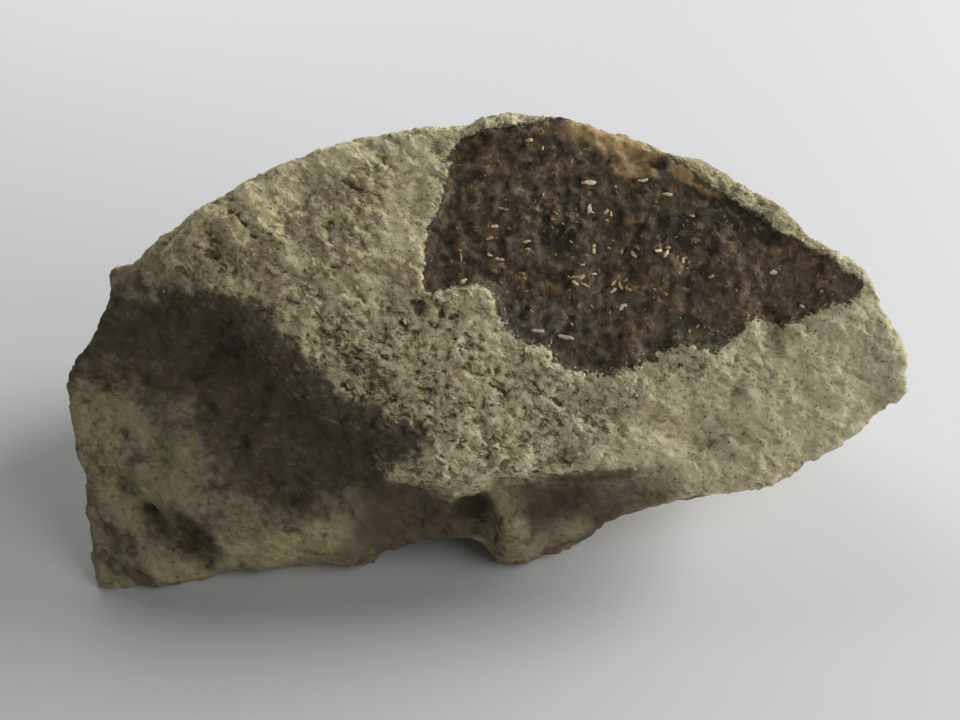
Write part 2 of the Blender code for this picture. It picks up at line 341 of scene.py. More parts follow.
def named(links, name):
    return links.make("GeometryNodeInputNamedAttribute", {"data_type": "FLOAT"}, {"Name": name})


# from here on come the zones of the surface, which both the shape and the colours use

def broadPlace(place):
    # u, v and lift of a place on the broad side
    away = place.shifted(tuple(-broadSide.origin))
    return [away.dot(tuple(axis)) for axis in broadSide.axes]


def oval(place, centre, reach, turn, ragged):
    # 1 in the middle of an oval on the broad side, fading to 0 outside it
    u, v, lift = broadPlace(place)
    u, v, turn = u - centre[0], v - centre[1], math.radians(turn)
    across = (u * math.cos(turn) + v * math.sin(turn)) / reach[0]
    up = (v * math.cos(turn) - u * math.sin(turn)) / reach[1]
    away = place.math("SQRT", across * across + up * up)
    return (away + place.noise(min(reach) * 0.7, 3.0, 0.6) * ragged).step(1.4, 0.6)


def patch(place, centre, size, ragged):
    # the same in a ball
    away = place.vector("DISTANCE", centre, out="Value") / size
    return (away + place.noise(size * 0.6, 3.0, 0.6) * ragged).step(1.1, 0.45)


# ovals on the broad side as their middle, half lengths and turn
ovals = {
    "calm": (
        ((50.0, 11.0), (15.0, 12.0), 0.0), ((33.0, 3.0), (19.0, 7.5), 0.0),
        ((-12.5, 38.0), (4.0, 12.0), -14.0), ((-26.0, 45.6), (23.0, 2.6), 27.0),
    ),
    "coarse": (((-19.0, 17.0), (17.0, 9.0), 0.0), ((2.0, 6.0), (22.0, 6.5), 0.0)),
    "ruddy": (((-25.0, 34.0), (14.0, 12.0), 0.0), ((-47.0, 36.0), (13.0, 5.0), 24.0)),
    "greenRim": (
        ((35.0, 42.0), (10.0, 4.5), -30.0), ((26.0, 49.0), (6.0, 2.5), 0.0),
        ((47.0, 33.0), (9.0, 2.6), -34.0),
    ),
    "pale": (
        ((-35.0, 32.0), (4.5, 5.0), 0.0), ((-24.0, 34.0), (18.0, 11.0), 0.0),
        ((-8.0, 34.0), (6.0, 14.0), 0.0), ((-14.0, 22.0), (14.0, 8.0), -30.0),
    ),
    "rightEnd": (((58.0, 14.0), (9.0, 12.0), 0.0),),
    "leftEdge": (((-60.5, 12.0), (4.5, 7.0), 0.0), ((-32.0, -7.0), (9.0, 2.5), 10.0)),
    "tan": (
        ((19.5, 48.0), (8.5, 3.0), -22.0), ((31.2, 41.0), (5.0, 1.7), -32.0),
        ((22.0, 43.0), (3.5, 1.3), -10.0),
    ),
    "slate": (((4.6, 20.8), (5.5, 3.6), 0.0),),
    # painted shadow in the notch at the front left and in the hollow beside the foot's lump
    "notch": (((-46.6, -4.4), (5.0, 1.5), -47.0), ((-6.2, -4.3), (3.2, 1.7), 10.0)),
    # painted shade in the thin strip under the lip's edge
    "ledge": (((12.0, -1.5), (8.0, 0.9), 0.0),),
    "shade": (
        ((-39.8, 34.8), (5.0, 0.9), -74.0), ((-34.6, 26.8), (4.0, 1.0), -38.0),
        ((-20.4, 17.2), (9.5, 2.2), -50.0),
    ),
    "black": (
        ((37.5, 34.8), (6.5, 2.6), -34.0), ((9.8, 33.9), (2.5, 2.0), 0.0), ((27.0, 33.0), (4.0, 2.5), 0.0),
    ),
}
# the zones that are stored on the stone for its colours
zoneNames = (
    "ruddy", "greenRim", "pale", "rightEnd", "leftEdge", "notch", "shade", "tan", "slate", "black", "skin",
    "broken", "soilAndShade",
)
# dull soil and painted shade on the front as middles, sizes and strengths, and the parts of the front that
# are left without them
soilAndShadePatches = {"lip": ((14.0, -25.5, 13.5), 13.0, 1.0), "ridge": ((-11.0, -28.0, 10.5), 14.0, 0.95)}
patchesWithoutSoilAndShade = {
    "lump": ((2.5, -28.0, 7.5), 5.0),
    "strip": ((12.0, -28.5, 7.8), 4.6),
    "tip": ((23.5, -24.5, 11.4), 4.0),
}


def zoneShares(place):
    # how much of each zone there is at a place
    shares = {}
    for name, given in ovals.items():
        found = [oval(place, *each, 1.1) for each in given]
        for other in found[1:]:
            found[0] = found[0].most(other)
        shares[name] = found[0]
    # the skin is all that lies below the broad side, duller and smoother
    skin = (broadPlace(place)[2] + place.noise(9.0, 4.0, 0.62) * 6.0).step(-2.0, -4.8)
    calm = shares.pop("calm")
    shares["skin"] = skin * (1.0 - shares["ruddy"] * 0.6)
    lump, strip, tip = [patch(place, centre, size, 0.8) for centre, size in patchesWithoutSoilAndShade.values()]
    shares["broken"] = (0.66 + shares.pop("coarse") * 0.15 - calm * 0.40) * (1.0 - skin * 0.45 + lump * 0.3)
    # the soil on the front is partly painted shade, on the front facets and under the lip
    soilsAndShades = [patch(place, centre, size, 0.9) * share for centre, size, share in soilAndShadePatches.values()]
    soilAndShade = soilsAndShades[0].most(soilsAndShades[1]) * skin * (1.0 - lump.most(strip).most(tip) * 0.85)
    shares["soilAndShade"] = soilAndShade.most(shares.pop("ledge") * 0.95)
    return shares


def filmShare(edge, place):
    # how much film there is: its edge is ragged, most of all low down, and leaves crumbs of bare stone
    low = broadPlace(place)[1].step(26.0, 15.0)
    torn = place.noise(4.2, 4.0, 0.62) * 3.4 + place.noise(0.9, 2.0, 0.6) * (2.0 + low * 3.4)
    return (edge + torn - low * 0.3).step(-0.3, 0.3)


def stainShare(edge, place):
    # how much stain there is: its edge is crisp along the ridge and fades below it
    below = broadPlace(place)[2].step(-1.0, -5.0)
    torn = (place.noise(6.0, 4.0, 0.65) + place.noise(2.2, 3.0, 0.65)) * (4.0 + below * 9.0)
    return ((edge + torn) / (1.0 + below * 3.4)).step(-1.2, 0.9)


# the broken surface is drawn out along one line, which falls to the right across the broad side
strokes = {"fall": 32.0, "stretch": (0.66, 1.05, 1.2)}


def strokesOf(place):
    # a place as it lies along, across and out of the strokes
    fall = math.radians(strokes["fall"])
    along, up, out = broadSide.axes
    axes = (along * math.cos(fall) - up * math.sin(fall), along * math.sin(fall) + up * math.cos(fall), out)
    parts = [place.dot(tuple(axis * factor)) for axis, factor in zip(axes, strokes["stretch"])]
    return place.make("ShaderNodeCombineXYZ", None, dict(enumerate(parts)))


def grainPlace(place, film):
    # where the small textures are read: shaken about, and drawn out wherever there is no film
    shaken = place.warped(2.4, 1.5)
    return strokesOf(shaken).turnedInto(shaken, film)


def splits(place, drawn, width):
    # the thin lines that the stone has split along, in some parts only
    parts = place.shifted((40.0, 3.0, 3.0)).noise(4.0).step(-0.1, 0.1)
    return drawn.shifted((8.0, 1.0, 4.0)).lines(2.2, width) * parts


# the colours of the bare stone, the dark film and the left stain
stoneColours = {
    "cream": (0.735, 0.665, 0.40),
    "grey": (0.455, 0.425, 0.272),
    "olive": (0.27, 0.235, 0.11),
    # the pit colour is used for dark specks and for the dark in pits, cracks, split lines and hollows, which
    # is partly painted shade
    "pit": (0.085, 0.063, 0.035),
    "rust": (0.35, 0.225, 0.11),
    "blush": (0.46, 0.30, 0.19),
    "chip": (0.86, 0.79, 0.56),
    "straw": (0.95, 0.84, 0.485),
    "skin": (0.275, 0.24, 0.145),
    "moss": (0.46, 0.41, 0.215),
    # dark soil, which on the front also paints shade
    "soilAndShade": (0.098, 0.075, 0.049),
    # near black, for painted shadow
    "deep": (0.030, 0.024, 0.015),
}
filmColours = {
    "brown": (0.091, 0.065, 0.036),
    "light": (0.168, 0.124, 0.071),
    "black": (0.023, 0.019, 0.013),
    "red": (0.155, 0.088, 0.044),
    "olive": (0.110, 0.093, 0.048),
    "gold": (0.36, 0.27, 0.145),
    "tan": (0.46, 0.32, 0.15),
    "slate": (0.112, 0.104, 0.086),
}
stainColours = {
    "brown": (0.092, 0.071, 0.050),
    "black": (0.044, 0.035, 0.026),
    "red": (0.130, 0.083, 0.060),
    "olive": (0.104, 0.092, 0.056),
}
# sizes of the noise that makes each finish, and how dull and bumpy the stone is
stonePattern = {
    "clouds": 15.0, "mottles": 3.6, "greens": 4.5, "blushes": 7.0, "streaks": 4.5, "specks": 0.75,
    "pepper": 0.45, "splitWidth": 0.045,
}
filmPattern = {"clouds": 6.0, "washes": 5.0, "olives": 2.4, "mottles": 2.1, "spots": 1.5, "grains": 0.8}
stainPattern = {"darks": 7.0, "clouds": 3.5, "streaks": 1.6}
stoneFinish = {
    "roughness": 0.9, "filmShine": 0.12, "roughnessSpread": 0.2, "highlight": 0.3,
    "grain": 0.9, "fineGrain": 0.42, "flakes": 0.85, "bump": 1.0, "grainBump": 0.35, "flakeBump": 0.45,
}


def newMaterial(name, kind, values):
    # a material of one shader
    material = bpy.data.materials.new(name)
    material.use_nodes = True
    material.node_tree.nodes.clear()
    links = Link(material.node_tree)
    shader = links.make(kind, None, values)
    links.make("ShaderNodeOutputMaterial", None, {"Surface": shader})
    return material, links, shader


def stoneLike(name, roughness):
    # a dull material whose patterns read places on the stone in millimetres
    values = {"Roughness": roughness, "Specular IOR Level": stoneFinish["highlight"]}
    material, links, shader = newMaterial(name, "ShaderNodeBsdfPrincipled", values)
    place = links.make("ShaderNodeTexCoord", out="Object").scaled(1.0 / mm)
    return material, links, shader, place


def attribute(links, name):
    return links.make("ShaderNodeAttribute", {"attribute_name": name}, out="Fac")


def bareStone(links, place, drawn, rough, flake, shares):
    # cream to grey, with dark pits and pale chips that are clearest where the stone is most broken; the pits
    # are partly painted shade and the chips partly painted highlight
    # (the shifts only keep one pattern from repeating another)
    sizes = stonePattern
    wide = place.noise(sizes["clouds"], 3.0, 0.55)
    middling = place.noise(sizes["mottles"], 3.0, 0.6)
    green = place.shifted((31.0, 5.0, 9.0)).noise(sizes["greens"], 3.0, 0.65)
    blush = place.shifted((7.0, 50.0, 3.0)).noise(sizes["blushes"], 4.0, 0.7)
    speck = place.shifted((1.0, 4.0, 60.0)).noise(sizes["specks"], 2.0, 0.6)
    split = splits(place, drawn, sizes["splitWidth"])
    pepper = place.shifted((6.0, 6.0, 2.0)).noise(sizes["pepper"], 1.0, 0.5)
    skin, ruddy, shown = shares["skin"], shares["ruddy"], shares["broken"]
    streak = drawn.shifted((2.0, 9.0, 40.0)).noise(sizes["streaks"], 4.0, 0.6)
    across = broadPlace(place)[0]
    tones = (
        ("cream", (wide * 1.4 + middling * 1.2 + rough * 0.4).step(-0.52, 0.30)),
        ("cream", shares["pale"] * 0.8),
        ("straw", across.step(-6.0, -36.0) * 0.62),
        ("grey", across.step(-5.0, 60.0) * 0.5),
        ("grey", shares["rightEnd"] * 0.9),
        ("olive", (green + middling * 0.6 + flake * 0.25 + shares["greenRim"] * 0.3).step(0.05, 0.3) * 0.7),
        ("olive", shares["greenRim"] * 0.4),
        ("skin", skin * 0.85),
        ("moss", (streak + green * 0.5 + shares["leftEdge"] * 0.4).step(0.0, 0.26) * skin * 0.9),
        ("soilAndShade", (blush - streak + ruddy * 0.08).step(-0.03, 0.2) * skin.most(ruddy * 0.45) * 0.85),
        ("blush", (blush + flake * 0.4 + ruddy * 0.10).step(0.08, 0.28) * 0.45),
        ("rust", (speck + blush * 0.5 + ruddy * 0.10).step(0.14, 0.32) * 0.65 * (1.0 - skin * 0.8)),
        ("olive", flake.step(-0.12, -0.36) * shown * 0.65),
        # pale chips on the high places of the relief: partly the grains' own colour, partly a painted
        # highlight
        ("chip", (flake * 0.6 + rough).step(0.18, 0.5) * shown * (1.0 - skin) * 0.55),
        ("chip", pepper.step(0.14, 0.26) * (0.45 - skin * 0.4)),
        # soil and painted shade on the front, and painted shade under the lip's edge
        ("soilAndShade", shares["soilAndShade"] * 0.92),
        ("skin", shares["shade"] * 0.2),
        # pits, denser in the shade zone and darkest where the relief is low: partly painted shade
        ("pit", (shares["shade"] * 0.46 + rough + flake * 0.3).step(0.36, 0.56) * 0.8),
        # painted shadow in the notch and in the hollow beside the lump
        ("deep", shares["notch"] * 0.85),
        ("pit", pepper.step(-0.13, -0.25) * (0.8 - skin * 0.65)),
        # dark pits and split lines where the relief is cut low: partly the stone's own dark, partly painted
        # shade
        ("pit", (rough + flake * 0.3 - shown * 0.17).step(-0.20, -0.42) * (0.15 + shown * 0.95)),
        ("pit", split * (shown + shares["shade"] * 0.5) * 0.85),
        # dark in the cracks, partly their own dark and partly painted shade
        ("pit", (attribute(links, "cut") + rough * 1.2 - 0.1).step(0.2, 0.8) * 0.75),
    )
    return painted(colourOf(links, stoneColours["grey"]), stoneColours, tones)


def darkFilmColour(links, place, drawn, shares):
    # clouds of brown, black, rust and olive with grains of gold, a tan zone by the crest and a slate one
    sizes = filmPattern
    mottle = drawn.shifted((9.0, 2.0, 6.0)).noise(sizes["mottles"], 2.0, 0.6)
    spots = drawn.shifted((4.0, 4.0, 9.0)).noise(sizes["spots"], 2.0, 0.55)
    grains = drawn.shifted((2.0, 7.0, 1.0)).noise(sizes["grains"], 1.0, 0.5)
    cloud = place.shifted((5.0, 5.0, 5.0)).noise(sizes["clouds"], 4.0, 0.65)
    wash = place.shifted((55.0, 5.0, 25.0)).noise(sizes["washes"], 3.0, 0.6)
    olive = place.noise(sizes["olives"], 3.0, 0.6)
    tan = shares["tan"]
    tones = (
        ("slate", (wash + mottle * 0.3).step(0.0, 0.2) * 0.6),
        ("olive", (olive + grains * 0.3 - cloud * 0.4).step(0.0, 0.16) * 0.8),
        ("red", (mottle + grains * 0.4 + cloud * 0.9 - wash * 0.5).step(0.0, 0.2) * 0.85),
        ("slate", shares["slate"] * (0.6 + grains)),
        ("light", (mottle * 0.6 - spots + cloud * 0.4).step(0.03, 0.20) * 0.75),
        ("black", (spots + cloud * 0.5 + shares["black"] * 0.25 - mottle * 0.4).step(-0.02, 0.2) * 0.8),
        ("tan", (tan + cloud * 0.9 + mottle * 0.8 - spots * 0.5 - 0.22).step(0.0, 0.95)),
        ("brown", (spots + cloud).step(0.0, 0.3) * tan * 0.5),
        ("gold", (grains - spots * 0.7 + mottle * 0.5).step(0.16, 0.34) * (0.6 - tan * 0.4)),
    )
    return painted(colourOf(links, filmColours["brown"]), filmColours, tones)


def stainColour(links, place, drawn, rough):
    # dull brown with darker, redder and greener clouds
    sizes = stainPattern
    cloud = place.shifted((4.0, 60.0, 8.0)).noise(sizes["clouds"], 4.0, 0.65)
    dark = place.noise(sizes["darks"], 4.0, 0.65)
    streak = drawn.noise(sizes["streaks"], 2.0, 0.6)
    tones = (
        ("red", (cloud + rough * 0.3).step(0.0, 0.22) * 0.7),
        ("olive", (cloud + rough * 0.3).step(-0.02, -0.22) * 0.7),
        ("black", (dark + streak * 0.7 - rough * 0.2).step(-0.15, 0.3)),
    )
    return painted(colourOf(links, stainColours["brown"]), stainColours, tones)


def painted(colour, colours, tones):
    # a colour with others laid over it, one after the other
    for name, share in tones:
        colour = colour.mixed(colours[name], share.least(1.0).most(0.0))
    return colour


def stoneMaterial():
    finish = stoneFinish
    material, links, shader, place = stoneLike("roughStone", finish["roughness"])
    shares = {name: attribute(links, name) for name in zoneNames}
    film = filmShare(attribute(links, "filmEdge"), place)
    drawn = grainPlace(place, film)
    stain = stainShare(attribute(links, "stainEdge"), place)
    fine = drawn.shifted((3.0, 8.0, 5.0)).noise(finish["fineGrain"], 2.0, 0.6)
    rough = drawn.noise(finish["grain"], 3.0, 0.62) + fine * 0.5
    flake = drawn.facets(finish["flakes"], 0.9)
    worn = (rough + flake).step(0.2, 0.7)  # where the stone shows through the stain

    colour = bareStone(links, place, drawn, rough, flake, shares)
    # painted shade: the relief's hollows darkened with the pit colour
    colour = colour.mixed(stoneColours["pit"], attribute(links, "hollow").step(0.06, 0.26) * 0.6)
    colour = colour.mixed(darkFilmColour(links, place, drawn, shares), film)
    colour = colour.mixed(stainColour(links, place, drawn, rough), stain * (0.95 - worn * 0.2))
    colour.feeds(shader, "Base Color")
    dull = finish["roughness"] - film * finish["filmShine"] + rough * finish["roughnessSpread"]
    dull.feeds(shader, "Roughness")
    height = rough * finish["grainBump"] + flake * finish["flakeBump"]
    height = height * (shares["broken"] + 0.25) * (1.0 - film * 0.35)
    depths = {"Strength": 1.0, "Distance": finish["bump"] * mm, "Height": height}
    links.make("ShaderNodeBump", None, depths).feeds(shader, "Normal")
    return material


grainDirt = {"colour": (0.07, 0.05, 0.028), "size": 0.4, "share": 0.75}


def grainMaterial(name, roughness, tones):
    # loose grains, each with one colour of a few that its tone picks
    material, links, shader, place = stoneLike(name, roughness)
    tone = attribute(links, "tone")
    colour = colourOf(links, tones[0][1])
    for start, rgb in tones[1:]:
        colour = colour.mixed(rgb, tone.step(start - 0.04, start + 0.04))
    dirt = place.noise(grainDirt["size"], 2.0, 0.6).step(-0.04, 0.28) * grainDirt["share"]
    colour.mixed(grainDirt["colour"], dirt).feeds(shader, "Base Color")
    return material


# each tone from which a colour is picked, and the colour
gritTones = (
    (0.0, stoneColours["olive"]), (0.2, stoneColours["grey"]), (0.5, stoneColours["cream"]),
    (0.82, stoneColours["chip"]), (0.93, stoneColours["rust"]),
)
fleckTones = (
    (0.0, (0.36, 0.235, 0.105)), (0.3, (0.60, 0.44, 0.21)), (0.65, (0.82, 0.66, 0.40)),
    (0.9, (0.62, 0.56, 0.43)),
)
speckTones = (
    (0.0, (0.03, 0.024, 0.016)), (0.2, (0.11, 0.065, 0.030)), (0.55, (0.20, 0.130, 0.065)),
    (0.84, (0.36, 0.26, 0.13)), (0.96, (0.60, 0.52, 0.36)),
)


stoneShape = {
    "gridStep": 0.33,
    "melt": 7,  # smoothing rounds that take the flat facets away
    "hollowReach": 7,  # blurring rounds against which hollows are told from humps, for the shade painted into hollows
    "triangles": 196000,
    "relief": {
        "Swell Height": 0.20,
        "Break Size": 3.4,
        "Break Height": 0.35,
        "Grain Size": 1.25,
        "Grain Height": 0.43,
        "Pit Depth": 0.42,
        "Lump Height": 0.75,
        "Crack Depth": 0.45,
        "Split Depth": 0.32,
    },
}


def reliefTree(material):
    # the stone's own roughness as shape, with the zones stored for the material
    links, given = newTree("stoneRelief", stoneShape["relief"])
    place = links.make("GeometryNodeInputPosition").scaled(1.0 / mm)
    normal = links.make("GeometryNodeInputNormal")
    film = filmShare(named(links, "filmEdge"), place)
    stain = stainShare(named(links, "stainEdge"), place)
    drawn = grainPlace(place, film)
    shares = zoneShares(place)
    cut = (named(links, "crack") + place.noise(1.3, 3.0, 0.65) * 3.2).step(-0.1, 0.45)
    geometry = given
    for name, share in shares.items():
        geometry = stored(geometry, name, share)
    geometry = stored(geometry, "cut", cut)
    offset = normal.scaled(reliefHeight(given, place, drawn, film, stain, cut, shares) * mm)
    moved = links.make("GeometryNodeSetPosition", None, {"Geometry": geometry, "Offset": offset})
    # how far each point lies down in a hollow, which the material paints as shade
    here = links.make("GeometryNodeInputPosition")
    blur = {"Value": here, "Iterations": stoneShape["hollowReach"]}
    blurred = links.make("GeometryNodeBlurAttribute", {"data_type": "FLOAT_VECTOR"}, blur)
    hollow = normal.dot(blurred.vector("SUBTRACT", here)) / mm
    smooth = links.make("GeometryNodeSetShadeSmooth", None, {"Geometry": stored(moved, "hollow", hollow)})
    endTree(links, smooth, material)
    return links.tree


def reliefHeight(given, place, drawn, film, stain, cut, shares):
    swell = place.noise(6.5, 3.0, 0.5) * given["Swell Height"] * 2.0
    breaks = drawn.scaled(1.0 / given["Break Size"]).facets(1.0) * given["Break Height"]
    grains = drawn.scaled(1.0 / given["Grain Size"]).facets(1.0, 1.0) * given["Grain Height"]
    grains = grains * (1.0 - film * 0.35)
    pits = drawn.noise(0.9, 3.0, 0.62).step(-0.07, -0.26) * given["Pit Depth"] * (1.0 - film * 0.7)
    lumps = place.shifted((3.0, 70.0, 2.0)).noise(1.8, 1.0, 0.5) * film * given["Lump Height"]
    split = splits(place, drawn, 0.10) * (shares["broken"] + shares["shade"] * 0.4) * given["Split Depth"]
    crumbs = (grains - pits) * (shares["broken"] + shares["shade"] * 0.25 + 0.24) * (1.0 - stain * 0.3)
    height = swell + lumps + breaks * (1.0 - shares["skin"] * 0.4) - cut * given["Crack Depth"]
    return height - split * (1.0 - film) + crumbs


def mergedCopy(node):
    # the node's mesh with its loose triangles joined up
    mesh = node.data.copy()
    shape = bmesh.new()
    shape.from_mesh(mesh)
    bmesh.ops.remove_doubles(shape, verts=shape.verts, dist=0.001 * mm)
    shape.to_mesh(mesh)
    shape.free()
    mesh.materials.clear()
    return mesh


def buildStone(material):
    stone = linked(bpy.data.objects.new("stone", mergedCopy(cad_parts["stromatolite"])))
    remesh = stone.modifiers.new("fineGrid", "REMESH")
    remesh.mode, remesh.voxel_size = "VOXEL", stoneShape["gridStep"] * mm
    melt = stone.modifiers.new("melt", "SMOOTH")
    melt.factor, melt.iterations = 0.5, stoneShape["melt"]
    bakedMesh(stone)
    print("the stone's fine grid:", len(stone.data.vertices), "points")
    markOutline(stone.data, "filmEdge", darkFilm)
    markOutline(stone.data, "stainEdge", leftStain)
    markCracks(stone.data, "crack")
    useTree(stone, reliefTree(material), stoneShape["relief"])
    bakedMesh(stone)
    print("its relief is cut")
    stone.data.calc_loop_triangles()
    thin = stone.modifiers.new("thin", "DECIMATE")
    thin.ratio = stoneShape["triangles"] / len(stone.data.loop_triangles)
    bakedMesh(stone)
    keepInBox(stone.data)
    print("stone:", len(stone.data.polygons), "triangles")
    return stone


def keepInBox(mesh):
    points = np.empty(len(mesh.vertices) * 3)
    mesh.vertices.foreach_get("co", points)
    points = np.clip(points.reshape(-1, 3), np.array(cadBox[0]), np.array(cadBox[1]))
    mesh.vertices.foreach_set("co", points.ravel())
    mesh.update()


# the loose grains: how many in a square metre, how far apart, how long, and how broad and thick for that
scatters = {
    "paleGrit": {
        "Density": 4.2e5, "Spacing": 0.75, "Shortest": 0.35, "Longest": 1.15,
        "Breadth": 0.42, "Thickness": 0.36, "Seed": 11,
    },
    "goldFlecks": {
        "Density": 3.4e5, "Spacing": 0.70, "Shortest": 0.35, "Longest": 1.50,
        "Breadth": 0.40, "Thickness": 0.30, "Seed": 23,
    },
    "filmSpecks": {
        "Density": 6.5e5, "Spacing": 0.55, "Shortest": 0.40, "Longest": 1.10,
        "Breadth": 0.5, "Thickness": 0.42, "Seed": 5,
    },
}
grainLean = 0.35  # how far a grain may tip out of the surface, in radians


def gritPlaces(links, place):
    # grit lies on bare broken stone
    film = filmShare(named(links, "filmEdge"), place)
    stain = stainShare(named(links, "stainEdge"), place)
    bare = (1.0 - film) * (1.0 - stain) * (1.0 - named(links, "skin").least(1.0) * 0.97)
    return bare * named(links, "broken") * (place.noise(5.0, 3.0, 0.6) + 0.5).step(0.25, 0.8)


def fleckPlaces(links, place):
    # gold flecks lie in the film, most of all about its middle
    film = (named(links, "filmEdge") - 0.8).step(0.0, 0.4)
    centre = oval(place, (12.0, 29.0), (18.0, 8.0), 0.0, 0.5)
    return film * (place.noise(5.0, 3.0, 0.6) + centre * 0.12).step(-0.02, 0.3)


def speckPlaces(links, place):
    # the film's crust, which its tan zone is without
    film = (named(links, "filmEdge") - 0.5).step(0.0, 0.4) * (1.0 - named(links, "tan").step(0.1, 0.5))
    return film * (place.noise(3.0, 3.0, 0.6) + 0.5).step(0.3, 0.75)


def grainShape(links):
    # one knobbly grain, 1 mm long
    grain = links.make("GeometryNodeMeshIcoSphere", None, {"Radius": 0.5 * mm, "Subdivisions": 1})
    knock = links.make("GeometryNodeInputPosition").scaled(1.0 / mm).warped(0.7, 0.9).scaled(mm)
    return links.make("GeometryNodeSetPosition", None, {"Geometry": grain, "Position": knock})


def scatterTree(name, share, material):
    # grains thrown over the stone as the share has it, each with its own turn, length and tone
    links, given = newTree(name, scatters[name])
    place = links.make("GeometryNodeInputPosition").scaled(1.0 / mm)
    found = {
        "Mesh": given["Geometry"], "Distance Min": given["Spacing"] * mm, "Density Max": given["Density"],
        "Density Factor": share(links, place), "Seed": given["Seed"],
    }
    points = links.make("GeometryNodeDistributePointsOnFaces", {"distribute_method": "POISSON"}, found)
    lean = grainLean
    turns = {"Min": (-lean, -lean, 0.0), "Max": (lean, lean, math.tau), "Seed": 1}
    turn = links.make("FunctionNodeRandomValue", {"data_type": "FLOAT_VECTOR"}, turns)
    turns = {"Rotation": points["Rotation"], "Rotate By": turn}
    turned = links.make("FunctionNodeRotateRotation", {"rotation_space": "LOCAL"}, turns)
    chance = links.make("FunctionNodeRandomValue", {"data_type": "FLOAT"}, {"Seed": 2}, out=1)
    length = given["Shortest"] + (given["Longest"] - given["Shortest"]) * chance * chance * chance
    sizes = links.make("ShaderNodeCombineXYZ", None, {0: 1.0, 1: given["Breadth"], 2: given["Thickness"]})
    placed = links.make("GeometryNodeInstanceOnPoints", None, {
        "Points": points, "Instance": grainShape(links), "Rotation": turned, "Scale": sizes.scaled(length),
    })
    tone = links.make("FunctionNodeRandomValue", {"data_type": "FLOAT"}, {"Seed": 3}, out=1)
    endTree(links, stored(placed, "tone", tone, "INSTANCE"), material)
    return links.tree


def partOfStone(piece):
    # a piece that lies on the stone and moves with it
    keepInBox(piece.data)
    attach(piece, "root")
    print(piece.name + ":", len(piece.data.polygons), "triangles")


def scatterOn(stone, name, share, material):
    # the tree turns the copy of the stone's mesh into the grains alone
    piece = linked(bpy.data.objects.new(name, stone.data.copy()))
    useTree(piece, scatterTree(name, share, material), scatters[name])
    bakedMesh(piece)
    partOfStone(piece)


# the flecks that stand out, each as its place on the broad side, length, width and turn
flecks = {
    "tan": ((-4.1, 45.5, 1.6, 0.6, 0.0), (-5.1, 32.0, 2.4, 0.3, 95.0), (9.6, 37.2, 1.2, 0.5, -30.0)),
    "gold": (
        (11.6, 27.5, 2.4, 0.4, 5.0), (12.7, 26.2, 1.7, 0.5, -35.0), (17.0, 26.3, 1.2, 0.6, 40.0),
        (18.0, 25.8, 1.4, 0.7, -70.0), (18.9, 26.6, 1.0, 0.6, 20.0), (19.1, 25.1, 1.1, 0.6, -30.0),
        (18.7, 30.9, 1.1, 0.7, 80.0), (20.3, 30.2, 1.4, 0.6, -50.0), (25.5, 30.8, 0.9, 0.7, 0.0),
        (-0.8, 31.8, 1.0, 0.6, -40.0), (4.7, 33.3, 1.4, 0.6, 10.0), (4.8, 32.2, 0.8, 0.6, 0.0),
        (31.5, 26.1, 1.0, 0.6, 15.0), (8.0, 40.2, 0.9, 0.5, 60.0),
    ),
    "cream": (
        (15.0, 41.6, 2.4, 1.1, -5.0), (6.7, 48.6, 1.3, 0.9, 0.0), (14.6, 31.6, 2.0, 0.8, 85.0),
        (25.1, 29.9, 1.4, 0.8, 45.0), (0.7, 31.0, 1.6, 0.6, -20.0), (-5.0, 28.1, 1.3, 0.9, 20.0),
        (23.1, 41.3, 2.0, 0.6, 5.0), (26.5, 38.9, 1.7, 0.6, -10.0),
    ),
    "white": (
        (8.7, 47.3, 0.8, 0.7, 80.0), (1.6, 38.6, 2.2, 0.6, -20.0), (14.5, 37.5, 1.6, 0.8, 80.0),
        (14.2, 27.8, 1.0, 0.8, 10.0), (17.8, 22.5, 1.1, 0.8, 60.0), (5.1, 20.1, 2.0, 0.7, -15.0),
        (9.1, 18.9, 2.6, 0.7, -18.0), (7.0, 18.4, 1.9, 0.4, 70.0), (41.1, 26.1, 1.4, 1.0, 0.0),
    ),
}
fleckTone = {"tan": 0.15, "gold": 0.5, "cream": 0.8, "white": 0.97}
fleckShape = {
    "slim": 0.75,  # of the widths above
    "thickness": 0.3,  # of which a third is sunk
    "knobSize": 0.45,
    "knobHeight": 0.24,
    "seed": 31,
}


def fleckMatrix(tree, u, v, length, width, turn):
    # a fleck lies on the stone under its place, part way between flat on it and flat on the broad side
    along, up, out = (Vector(axis) for axis in broadSide.axes)
    spot, normal = tree.ray_cast(Vector(broadSide.place(u, v, 12.0)) * mm, -out)[:2]
    turn = math.radians(turn)
    long = along * math.cos(turn) + up * math.sin(turn)
    normal = (normal + out * 2.0).normalized()
    long = (long - normal * long.dot(normal)).normalized()
    axes = Matrix((long, normal.cross(long), normal)).transposed().to_4x4()
    thickness = fleckShape["thickness"]
    size = Matrix.Diagonal((length, width * fleckShape["slim"], thickness, 1.0))
    return Matrix.Translation(spot + normal * thickness * mm / 6) @ axes @ size


